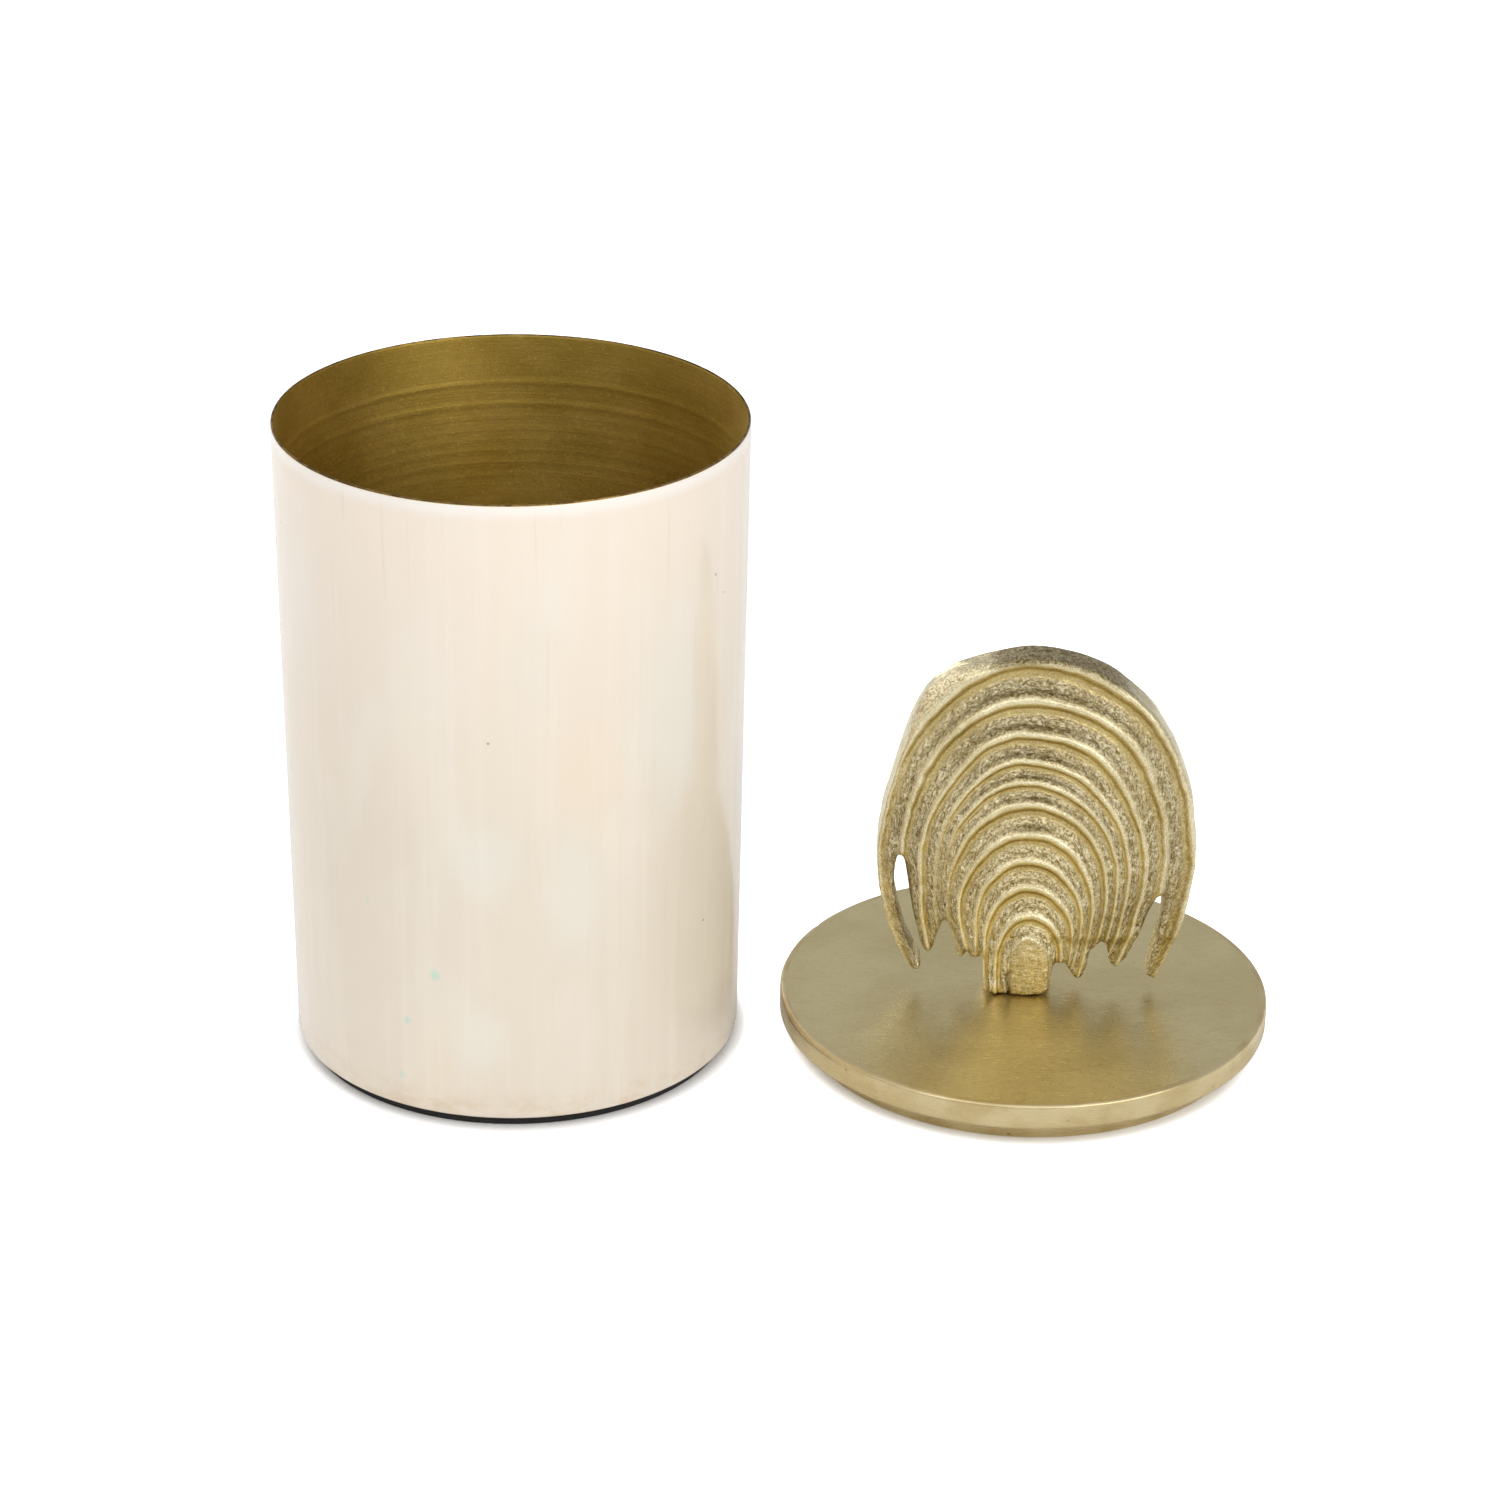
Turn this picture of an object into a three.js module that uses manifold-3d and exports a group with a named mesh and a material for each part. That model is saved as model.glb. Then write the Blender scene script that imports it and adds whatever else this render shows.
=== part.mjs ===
// Decorative cookie tin: a tapered enamelled tin standing beside its lid, which rests on its own
// collar and carries a tall cast finial of nested arches. Millimetres, +Z up, +X from the tin's axis
// to the lid's axis, front towards -Y. The origin is the centre of the tin's base, on the table.
import * as THREE from 'three';
import Module from 'manifold-3d';
import { mergeVertices } from 'three/addons/utils/BufferGeometryUtils.js';

const wasm = await Module();
wasm.setup();

// ---- driving dimensions -------------------------------------------------------------------------

const roundSegments = 72;
const screwSegments = 24;

const tin = {
  height: 199.7,
  rimRadius: 70,
  baseRadius: 67.6,
  enamelThickness: 0.3,
  coatGap: 0.02,
  sheetThickness: 0.7,
  bottomEdgeRadius: 1.2,
  bareRim: 0.4,
  lipWidth: 3,
  floorClearance: 0.3,
};
const pad = { radius: 64.7, height: 3.2 };
const floorThickness = 0.8;

// The sheet lies this far inside the enamel's outer face.
const sheetInset = tin.enamelThickness + tin.coatGap;
const lipInnerRadius = tin.baseRadius - sheetInset - tin.sheetThickness - tin.lipWidth;

const lid = {
  axisX: 155.5,
  radius: 74.75,
  top: 14.8,
  edgeBottom: 6.5,
  sheetThickness: 1,
  topBevel: 0.7,
  bottomEdgeRadius: 1.6,
  seatHeight: 7.4,
  lipWidth: 2.8,
  flangeClearance: 0.1,
};
const collar = { topRadius: 68.4, bottomRadius: 67.2, thickness: 0.9, edgeRadius: 0.5 };

const finial = {
  plateThickness: 10.6,
  ribThickness: 14,
  ribWidth: 2.6,
  edgeBevel: 0.6,
};
const foot = { left: -12, right: 8, thickness: 15.3, height: 15 };

const fixing = {
  screwRadius: 3,
  holeClearance: 0.3,
  screwLength: 13,
  holeDepth: 14,
  headRadius: 5.5,
  headHeight: 3.2,
  socketRadius: 2.3,
  socketDepth: 2,
  washerRadius: 9,
  washerThickness: 1,
};
const setScrew = { radius: 2, length: 4, height: 8, socketRadius: 1, socketDepth: 1.6, recess: 0.2 };

// ---- materials ----------------------------------------------------------------------------------

const metalOf = (color, roughness) =>
  new THREE.MeshStandardMaterial({ color, roughness, metalness: 1 });

const goldLacquer = metalOf(0x8a7436, 0.42);
const satinBrass = metalOf(0xb5a065, 0.34);
const castBrass = metalOf(0xc2a562, 0.38);
const steel = metalOf(0xa9a9a6, 0.4);
const creamEnamel = new THREE.MeshStandardMaterial({ color: 0xf1e7da, roughness: 0.22, metalness: 0 });
const blackRubber = new THREE.MeshStandardMaterial({ color: 0x191817, roughness: 0.9, metalness: 0 });

// ---- helpers ------------------------------------------------------------------------------------

function meshOf(name, geometry, material) {
  const mesh = new THREE.Mesh(geometry, material);
  mesh.name = name;
  return mesh;
}

// A turned solid: profile points are [radius, height], listed around the section.
function turned(points, segments = roundSegments) {
  return new THREE.LatheGeometry(points.map(([r, z]) => new THREE.Vector2(r, z)), segments)
    .rotateX(Math.PI / 2);
}

// A closed ring section repeats its first point.
function turnedRing(points, segments) {
  return turned([...points, points[0]], segments);
}

// Quarter-round corner of a turned section, from one angle to another, in degrees.
function corner(centreR, centreZ, radius, from, to, steps = 3) {
  return Array.from({ length: steps + 1 }, (_, i) => {
    const angle = THREE.MathUtils.degToRad(from + ((to - from) * i) / steps);
    return [centreR + radius * Math.cos(angle), centreZ + radius * Math.sin(angle)];
  });
}

function toManifold(geometry) {
  const bare = new THREE.BufferGeometry();
  bare.setAttribute('position', geometry.getAttribute('position'));
  if (geometry.index) bare.setIndex(geometry.index);
  const merged = mergeVertices(bare, 1e-4);
  const mesh = new wasm.Mesh({
    numProp: 3,
    vertProperties: new Float32Array(merged.getAttribute('position').array),
    triVerts: new Uint32Array(merged.index.array),
  });
  mesh.merge();
  return new wasm.Manifold(mesh);
}

function fromManifold(solid) {
  const mesh = solid.getMesh();
  const geometry = new THREE.BufferGeometry();
  geometry.setAttribute('position', new THREE.BufferAttribute(new Float32Array(mesh.vertProperties), 3));
  geometry.setIndex(new THREE.BufferAttribute(new Uint32Array(mesh.triVerts), 1));
  geometry.computeVertexNormals();
  return geometry;
}

// An upright slab: a shape drawn with x across and y up, given a thickness centred on the XZ plane.
function slab(shape, thickness, bevel = 0, curveSegments = 16) {
  const geometry = new THREE.ExtrudeGeometry(shape, {
    depth: thickness - 2 * bevel,
    bevelEnabled: bevel > 0,
    bevelThickness: bevel,
    bevelSize: bevel,
    bevelOffset: -bevel,
    bevelSegments: 2,
    curveSegments,
  });
  return geometry.translate(0, 0, bevel - thickness / 2).rotateX(Math.PI / 2);
}

// A screw standing on its own axis: a plain shank with an optional head below it, socket in the head.
function screwBlank({ shankRadius, shankLength, headRadius, headHeight, socketRadius, socketDepth }) {
  return turned([
    [0, -headHeight + socketDepth],
    [socketRadius, -headHeight + socketDepth],
    [socketRadius, -headHeight],
    [headRadius, -headHeight],
    [headRadius, 0],
    [shankRadius, 0],
    [shankRadius, shankLength],
    [0, shankLength],
  ], screwSegments);
}

// ---- tin ----------------------------------------------------------------------------------------

// Outer radius of the tapered tin at a height, measured over the enamel.
function tinRadiusAt(z) {
  const share = (z - pad.height) / (tin.height - pad.height);
  return THREE.MathUtils.lerp(tin.baseRadius, tin.rimRadius, share);
}

function tinWall() {
  const inner = sheetInset + tin.sheetThickness;
  const bottom = pad.height + sheetInset;
  const lipTop = bottom + tin.sheetThickness;
  const edge = tin.bottomEdgeRadius;
  const enamelTop = tin.height - tin.bareRim;
  return turnedRing([
    [lipInnerRadius, bottom],
    ...corner(tinRadiusAt(bottom) - sheetInset - edge, bottom + edge, edge, -90, 0),
    [tinRadiusAt(enamelTop) - sheetInset, enamelTop],
    [tin.rimRadius - sheetInset, tin.height],
    [tin.rimRadius - inner, tin.height],
    [tinRadiusAt(lipTop) - inner, lipTop],
    [lipInnerRadius, lipTop],
  ]);
}

function enamelCoat() {
  const inset = tin.enamelThickness;
  const bottom = pad.height;
  const edge = tin.bottomEdgeRadius;
  const outerEdge = edge + inset;
  const top = tin.height - tin.bareRim;
  return turnedRing([
    [lipInnerRadius, bottom],
    ...corner(tin.baseRadius - outerEdge, bottom + outerEdge, outerEdge, -90, 0),
    [tinRadiusAt(top), top],
    [tinRadiusAt(top) - inset, top],
    ...corner(tinRadiusAt(bottom + inset) - inset - edge, bottom + inset + edge, edge, 0, -90),
    [lipInnerRadius, bottom + inset],
  ]);
}

const floorBottom = pad.height + sheetInset + tin.sheetThickness;

function tinFloor() {
  const radius = tin.baseRadius - sheetInset - tin.sheetThickness - tin.floorClearance;
  return turned([
    [0, floorBottom],
    [radius, floorBottom],
    [radius, floorBottom + floorThickness],
    [0, floorBottom + floorThickness],
  ]);
}

// The pad's middle stands up inside the wall's turned-in lip and touches the floor.
function basePad() {
  const middleRadius = lipInnerRadius - tin.floorClearance;
  return turned([
    [0, 0],
    [pad.radius, 0],
    [pad.radius, pad.height],
    [middleRadius, pad.height],
    [middleRadius, floorBottom],
    [0, floorBottom],
  ]);
}

// ---- lid ----------------------------------------------------------------------------------------

// A shallow pan, open below, whose skirt ends in a rounded lip turned inwards.
function lidPlate() {
  const { radius, top, edgeBottom, sheetThickness, topBevel, bottomEdgeRadius, seatHeight } = lid;
  const hole = fixing.screwRadius + fixing.holeClearance;
  const lipInner = radius - lid.lipWidth;
  return turnedRing([
    [hole, top - sheetThickness],
    [radius - sheetThickness, top - sheetThickness],
    [radius - sheetThickness, seatHeight],
    [lipInner, seatHeight],
    [lipInner, edgeBottom],
    ...corner(radius - bottomEdgeRadius, edgeBottom + bottomEdgeRadius, bottomEdgeRadius, -90, 0),
    [radius, top - topBevel],
    [radius - topBevel, top],
    [hole, top],
  ]);
}

// A flange that closes the pan around its edge and rests on the tin's rim, and the tapered collar
// that drops inside the tin.
function lidCollar() {
  const flangeRadius = lid.radius - lid.sheetThickness - lid.flangeClearance;
  const { topRadius, bottomRadius, thickness, edgeRadius } = collar;
  const flangeTop = lid.seatHeight + thickness;
  return turnedRing([
    [topRadius, lid.seatHeight],
    [flangeRadius, lid.seatHeight],
    [flangeRadius, flangeTop],
    [topRadius - thickness, flangeTop],
    [bottomRadius - thickness, edgeRadius],
    [bottomRadius - thickness, 0],
    [bottomRadius - edgeRadius, 0],
    [bottomRadius, edgeRadius],
  ]);
}

// ---- finial -------------------------------------------------------------------------------------

// The nested arches, from the outside in. Crown is the arch's top; left and right are its half
// widths, reached at the shoulder height; below it each leg bends in to its foot [x, height].
const arches = [
  { crown: 112.2, left: 46, right: 50.2, shoulder: 48, leftFoot: [35.4, 9.2], rightFoot: [40.4, 6] },
  { crown: 99.3, left: 37.5, right: 40, shoulder: 56, leftFoot: [38, 47], rightFoot: [39, 34] },
  { crown: 88.4, left: 33, right: 35.5, shoulder: 42, leftFoot: [29.5, 17.5], rightFoot: [27, 11.5] },
  { crown: 79.5, left: 28, right: 29, shoulder: 40, leftFoot: [26, 25], rightFoot: [25.5, 19] },
  { crown: 64.8, left: 25, right: 24.6, shoulder: 36, leftFoot: [19.4, 15], rightFoot: [22, 17.5] },
  { crown: 55.2, left: 21.3, right: 19.7, shoulder: 31, leftFoot: [17.6, 15.5], rightFoot: [16, 8] },
  { crown: 47, left: 15.8, right: 16.6, shoulder: 25, leftFoot: [15.4, 15], rightFoot: [14, 10.8] },
  { crown: 37.3, left: 13.3, right: 14, shoulder: 19, leftFoot: [12.2, 12], rightFoot: [11, 11] },
];

// Where the outer arch swells out of its ellipse or sinks into it: the middle of the swelling in
// degrees from the crown, positive to the right, its half width in degrees, and its height.
const swellings = [
  { angle: -37, spread: 14.5, height: 3.9 },
  { angle: -70, spread: 14, height: -0.8 },
  { angle: 45, spread: 30, height: 1 },
];

// Half of an arch as points [x, height] from crown to foot: a quarter ellipse and a bending leg.
function halfArch(crown, halfWidth, shoulder, [footX, footZ], ellipseSteps, legSteps = 4) {
  const points = [];
  for (let i = 0; i <= ellipseSteps; i += 1) {
    const angle = (Math.PI / 2) * (i / ellipseSteps);
    points.push([halfWidth * Math.sin(angle), shoulder + (crown - shoulder) * Math.cos(angle)]);
  }
  for (let i = 1; i <= legSteps; i += 1) {
    const share = i / legSteps;
    points.push([
      THREE.MathUtils.lerp(halfWidth, footX, share ** 2),
      THREE.MathUtils.lerp(shoulder, footZ, share),
    ]);
  }
  return points;
}

// The line of an arch from its left foot over the crown to its right foot, moved inwards by inset.
function archLine({ crown, left, right, shoulder, leftFoot, rightFoot }, inset = 0, ellipseSteps = 8) {
  const footOf = ([x, z]) => [x - inset, z];
  const leftHalf = halfArch(crown - inset, left - inset, shoulder, footOf(leftFoot), ellipseSteps);
  const rightHalf = halfArch(crown - inset, right - inset, shoulder, footOf(rightFoot), ellipseSteps);
  return [...leftHalf.map(([x, z]) => [-x, z]).reverse(), ...rightHalf.slice(1)];
}

// The outer arch with its swellings, each a bell curve around the arch above the shoulder.
function swollen(points) {
  const { left, right, crown, shoulder } = arches[0];
  const rise = crown - shoulder;
  return points.map(([x, z]) => {
    if (z < shoulder) return [x, z];
    const halfWidth = x < 0 ? left : right;
    const angle = THREE.MathUtils.radToDeg(Math.atan2(x / halfWidth, (z - shoulder) / rise));
    const outwards = new THREE.Vector2(x / halfWidth ** 2, (z - shoulder) / rise ** 2).normalize();
    let amount = 0;
    for (const swelling of swellings) {
      amount += swelling.height * Math.exp(-(((angle - swelling.angle) / swelling.spread) ** 2));
    }
    return [x + amount * outwards.x, z + amount * outwards.y];
  });
}

const shapeOf = (points) => new THREE.Shape(points.map(([x, z]) => new THREE.Vector2(x, z)));

// The casting's outline: the outer arch, then along the feet of the legs from right to left, with
// a narrow slot inside each outer leg.
function finialOutline() {
  const rightFeet = [
    [37.4, 6.2], [39.6, 22], [41, 33], [39.6, 34.6], [37.8, 33.6], [36.2, 30], [33.6, 20.8], [29.8, 10.6],
    [27.4, 9.4], [25.2, 11.4], [24.6, 18], [19.6, 15.4], [18.5, 7], [16, 5.4], [13.8, 7.4], [13, 10],
    [8.8, 10],
  ];
  const leftFeet = [
    [-13, 14.6], [-15.4, 12.2], [-17.6, 14.6], [-19.5, 12.6], [-21.2, 15.4], [-23.4, 24.6], [-25.6, 25.2],
    [-28, 16.4], [-30, 14.4], [-32, 17], [-35.6, 32], [-37.6, 43.6], [-39, 48], [-40.6, 44],
    [-40.4, 34], [-37.6, 19], [-33, 9.6],
  ];
  const outerArch = swollen(archLine(arches[0], 0, 16));
  return shapeOf([...outerArch, ...rightFeet, ...leftFeet]);
}

// The foot stands on the lid and carries the screw from below and the set screw from behind.
function finialFoot() {
  const { left, right, height } = foot;
  const shape = shapeOf([
    [left, 0], [right, 0], [right + 0.9, height], [3, height + 5], [-5, height + 5], [left - 1.4, height],
  ]);
  return slab(shape, foot.thickness, 0.6);
}

function castFinial() {
  let solid = toManifold(slab(finialOutline(), finial.plateThickness, finial.edgeBevel));
  for (const arch of arches) {
    const band = shapeOf([...archLine(arch), ...archLine(arch, finial.ribWidth).reverse()]);
    solid = solid.add(toManifold(slab(band, finial.ribThickness)));
  }
  solid = solid.add(toManifold(finialFoot()));

  const screwHole = new THREE.CylinderGeometry(
    fixing.screwRadius + fixing.holeClearance,
    fixing.screwRadius + fixing.holeClearance,
    2 * fixing.holeDepth,
    screwSegments,
  ).rotateX(Math.PI / 2);
  const setHoleRadius = setScrew.radius + fixing.holeClearance;
  const setHoleLength = foot.thickness;
  const setHole = new THREE.CylinderGeometry(setHoleRadius, setHoleRadius, setHoleLength, screwSegments)
    .translate(0, setHoleLength / 2, 0)
    .translate(0, 0, setScrew.height);
  return fromManifold(solid.subtract(toManifold(screwHole)).subtract(toManifold(setHole)));
}

// ---- fixings ------------------------------------------------------------------------------------

function finialScrew() {
  return screwBlank({
    shankRadius: fixing.screwRadius,
    shankLength: lid.sheetThickness + fixing.washerThickness + fixing.screwLength,
    headRadius: fixing.headRadius,
    headHeight: fixing.headHeight,
    socketRadius: fixing.socketRadius,
    socketDepth: fixing.socketDepth,
  });
}

function screwWasher() {
  const hole = fixing.screwRadius + fixing.holeClearance;
  return turnedRing([
    [hole, 0],
    [fixing.washerRadius, 0],
    [fixing.washerRadius, fixing.washerThickness],
    [hole, fixing.washerThickness],
  ], 2 * screwSegments);
}

// The set screw lies along Y, its socket towards the back of the finial.
function setScrewSolid() {
  return turned([
    [0, 0],
    [setScrew.radius, 0],
    [setScrew.radius, setScrew.length],
    [setScrew.socketRadius, setScrew.length],
    [setScrew.socketRadius, setScrew.length - setScrew.socketDepth],
    [0, setScrew.length - setScrew.socketDepth],
  ], screwSegments).rotateX(-Math.PI / 2);
}

// ---- assembly -----------------------------------------------------------------------------------

const tinGroup = new THREE.Group();
tinGroup.add(
  meshOf('tin_wall', tinWall(), goldLacquer),
  meshOf('enamel_coat', enamelCoat(), creamEnamel),
  meshOf('tin_floor', tinFloor(), goldLacquer),
  meshOf('base_pad', basePad(), blackRubber),
);

const finialMesh = meshOf('finial', castFinial(), castBrass);
finialMesh.position.z = lid.top;

const washerMesh = meshOf('screw_washer', screwWasher(), steel);
washerMesh.position.z = lid.top - lid.sheetThickness - fixing.washerThickness;

const screwMesh = meshOf('finial_screw', finialScrew(), steel);
screwMesh.position.z = washerMesh.position.z;

const setScrewMesh = meshOf('finial_set_screw', setScrewSolid(), steel);
setScrewMesh.position.set(
  0,
  foot.thickness / 2 - setScrew.recess - setScrew.length,
  lid.top + setScrew.height,
);

const lidGroup = new THREE.Group();
lidGroup.position.x = lid.axisX;
lidGroup.add(
  meshOf('lid_plate', lidPlate(), satinBrass),
  meshOf('lid_collar', lidCollar(), satinBrass),
  finialMesh,
  screwMesh,
  washerMesh,
  setScrewMesh,
);

const cookieTin = new THREE.Group();
cookieTin.add(tinGroup, lidGroup);

export default cookieTin;
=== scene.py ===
"""Looks for the cookie tin: an enamelled tin beside its brass lid with a cast finial of nested arches.

Lengths are in millimetres and are turned into metres by MM; only the lamps and the camera are given
in metres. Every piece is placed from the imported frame's own boxes.
"""

import math

import bmesh
import bpy
import numpy as np
from mathutils import Euler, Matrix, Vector, noise


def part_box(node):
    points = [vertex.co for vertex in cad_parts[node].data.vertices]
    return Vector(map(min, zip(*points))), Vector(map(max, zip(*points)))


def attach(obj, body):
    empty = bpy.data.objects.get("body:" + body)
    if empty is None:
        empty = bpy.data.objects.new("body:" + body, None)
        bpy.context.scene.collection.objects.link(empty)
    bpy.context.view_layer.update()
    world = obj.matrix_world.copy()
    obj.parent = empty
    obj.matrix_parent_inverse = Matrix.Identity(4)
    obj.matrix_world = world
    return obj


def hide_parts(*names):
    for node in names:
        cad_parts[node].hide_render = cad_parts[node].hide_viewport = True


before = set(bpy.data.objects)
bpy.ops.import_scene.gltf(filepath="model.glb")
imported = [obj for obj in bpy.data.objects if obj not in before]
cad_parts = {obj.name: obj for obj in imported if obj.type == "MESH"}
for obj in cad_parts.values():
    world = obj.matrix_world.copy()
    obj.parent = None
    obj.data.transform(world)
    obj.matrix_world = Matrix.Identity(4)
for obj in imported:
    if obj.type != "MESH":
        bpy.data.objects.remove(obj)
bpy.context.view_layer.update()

MM = 0.001
ROUND_STEPS = 240


def box_mm(node):
    """The CAD node's lowest and highest corner in millimetres."""
    low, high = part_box(node)
    return low / MM, high / MM


WALL_LOW, WALL_HIGH = box_mm("tin_wall")
ENAMEL_LOW, ENAMEL_HIGH = box_mm("enamel_coat")
FLOOR_LOW, FLOOR_HIGH = box_mm("tin_floor")
PAD_HIGH = box_mm("base_pad")[1]
PLATE_LOW, PLATE_HIGH = box_mm("lid_plate")
COLLAR_HIGH = box_mm("lid_collar")[1]
FINIAL_LOW, FINIAL_HIGH = box_mm("finial")
SCREW_TOP = box_mm("finial_screw")[1].z
SET_LOW, SET_HIGH = box_mm("finial_set_screw")
SET_SCREW_HEIGHT = (SET_LOW.z + SET_HIGH.z) / 2
LID_X = (PLATE_LOW.x + PLATE_HIGH.x) / 2
PLATE_RADIUS = PLATE_HIGH.x - LID_X
PLATE_TOP = PLATE_HIGH.z

# ---- colours and node helpers --------------------------------------------------------------------


def srgb(red, green, blue):
    """A colour given as 0-255 screen values, as linear RGBA."""

    def linear(value):
        value = value / 255
        return value / 12.92 if value <= 0.04045 else ((value + 0.055) / 1.055) ** 2.4

    return (linear(red), linear(green), linear(blue), 1.0)


class Nodes:
    """Short names for building one material's node tree."""

    def __init__(self, name):
        self.material = bpy.data.materials.new(name)
        self.material.use_nodes = True
        self.tree = self.material.node_tree
        self.tree.nodes.clear()
        self.output = self.tree.nodes.new("ShaderNodeOutputMaterial")
        self.shader = self.tree.nodes.new("ShaderNodeBsdfPrincipled")
        self.join(self.shader.outputs["BSDF"], self.output.inputs["Surface"])
        self.coords = self.tree.nodes.new("ShaderNodeTexCoord").outputs["Object"]

    def join(self, source, target):
        self.tree.links.new(source, target)

    def feed(self, socket, value):
        """Sets an input: joins it to another node's output, or gives it a plain value."""
        if hasattr(value, "is_output"):
            self.join(value, socket)
        else:
            socket.default_value = value

    def node(self, kind, **settings):
        made = self.tree.nodes.new(kind)
        for key, value in settings.items():
            setattr(made, key, value)
        return made

    def scaled(self, x, y, z, offset=(0, 0, 0)):
        """Object coordinates in millimetres, divided by a size in each direction."""
        mapping = self.node("ShaderNodeMapping")
        self.join(self.coords, mapping.inputs["Vector"])
        mapping.inputs["Scale"].default_value = (1 / (x * MM), 1 / (y * MM), 1 / (z * MM))
        mapping.inputs["Location"].default_value = offset
        return mapping.outputs["Vector"]

    def noise(self, vector, detail=3, rough=0.5, distortion=0.0):
        made = self.node("ShaderNodeTexNoise")
        self.join(vector, made.inputs["Vector"])
        made.inputs["Scale"].default_value = 1
        made.inputs["Detail"].default_value = detail
        made.inputs["Roughness"].default_value = rough
        made.inputs["Distortion"].default_value = distortion
        return made.outputs["Fac"]

    def spots(self, vector):
        made = self.node("ShaderNodeTexVoronoi")
        self.join(vector, made.inputs["Vector"])
        made.inputs["Scale"].default_value = 1
        return made.outputs["Distance"]

    def patch(self, centre, radii, ragged):
        """1 near a centre, falling to 0 at the radii around it, in mm, with a ragged edge."""
        offset = self.node("ShaderNodeVectorMath", operation="SUBTRACT")
        self.join(self.coords, offset.inputs[0])
        offset.inputs[1].default_value = [c * MM for c in centre]
        scaled = self.node("ShaderNodeVectorMath", operation="DIVIDE")
        self.join(offset.outputs["Vector"], scaled.inputs[0])
        scaled.inputs[1].default_value = [r * MM for r in radii]
        length = self.node("ShaderNodeVectorMath", operation="LENGTH")
        self.join(scaled.outputs["Vector"], length.inputs[0])
        reach = length.outputs["Value"]
        # the noise's mean is a half, so the ramp is moved out by half of its reach
        size = min(radii) * 0.8
        wobble = self.noise(self.scaled(size, size, size), detail=3)
        reach = self.math("ADD", reach, self.math("MULTIPLY", wobble, ragged))
        return self.ramp(reach, 1 + ragged / 2, 0.1 + ragged / 2)

    def ramp(self, value, low, high, out_low=0.0, out_high=1.0, smooth=True):
        """out_low where the value is low, out_high where it is high, and a soft change between."""
        made = self.node("ShaderNodeMapRange")
        made.interpolation_type = "SMOOTHSTEP" if smooth else "LINEAR"
        self.feed(made.inputs["Value"], value)
        for key, number in (
            ("From Min", low),
            ("From Max", high),
            ("To Min", out_low),
            ("To Max", out_high),
        ):
            made.inputs[key].default_value = number
        return made.outputs["Result"]

    def math(self, operation, first, second=0.0):
        made = self.node("ShaderNodeMath", operation=operation)
        self.feed(made.inputs[0], first)
        self.feed(made.inputs[1], second)
        return made.outputs["Value"]

    def mix(self, share, first, second):
        made = self.node("ShaderNodeMix", data_type="RGBA")
        self.feed(made.inputs["Factor"], share)
        self.feed(made.inputs["A"], first)
        self.feed(made.inputs["B"], second)
        return made.outputs["Result"]

    def coordinate_mm(self, axis):
        made = self.node("ShaderNodeSeparateXYZ")
        self.join(self.coords, made.inputs["Vector"])
        return self.math("DIVIDE", made.outputs[axis], MM)

    def attribute(self, name):
        """A number stored with the mesh's points."""
        return self.node("ShaderNodeAttribute", attribute_name=name).outputs["Fac"]

    def bump(self, height, distance_mm):
        """Adds bumps on top of those already there."""
        made = self.node("ShaderNodeBump")
        made.inputs["Distance"].default_value = distance_mm * MM
        self.join(height, made.inputs["Height"])
        if self.shader.inputs["Normal"].is_linked:
            self.join(self.shader.inputs["Normal"].links[0].from_socket, made.inputs["Normal"])
        self.join(made.outputs["Normal"], self.shader.inputs["Normal"])

    def set(self, **values):
        """Gives the surface its values, with spaces written as underscores, and ends the material."""
        for key, value in values.items():
            self.feed(self.shader.inputs[key.replace("_", " ")], value)
        return self.material


# ---- materials -----------------------------------------------------------------------------------


# Cool patches and green specks in the enamel: degrees around the tin to the right of its front,
# height, half width and half height in mm, and strength.
COOL_PATCHES = (
    (44, 128, 20, 46, 0.6),
    (18, 76, 13, 34, 0.65),
    (-4, 88, 15, 20, 0.7),
    (-6, 30, 13, 18, 0.75),
    (8, 150, 12, 30, 0.35),
)
GREEN_SPECKS = (
    (-17, 50, 2.4, 2.8, 0.8),
    (-25, 33, 1.8, 2.0, 0.7),
    (-27, 14, 1.8, 2.0, 0.55),
    (-36, 69, 1.6, 2.0, 0.4),
)


def on_tin(degrees, height):
    """A point on the enamel, degrees to the right of the tin's front, which faces -Y."""
    turn = math.radians(degrees - 90)
    radius = tin_radius(height)
    return (radius * math.cos(turn), radius * math.sin(turn), height)


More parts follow.
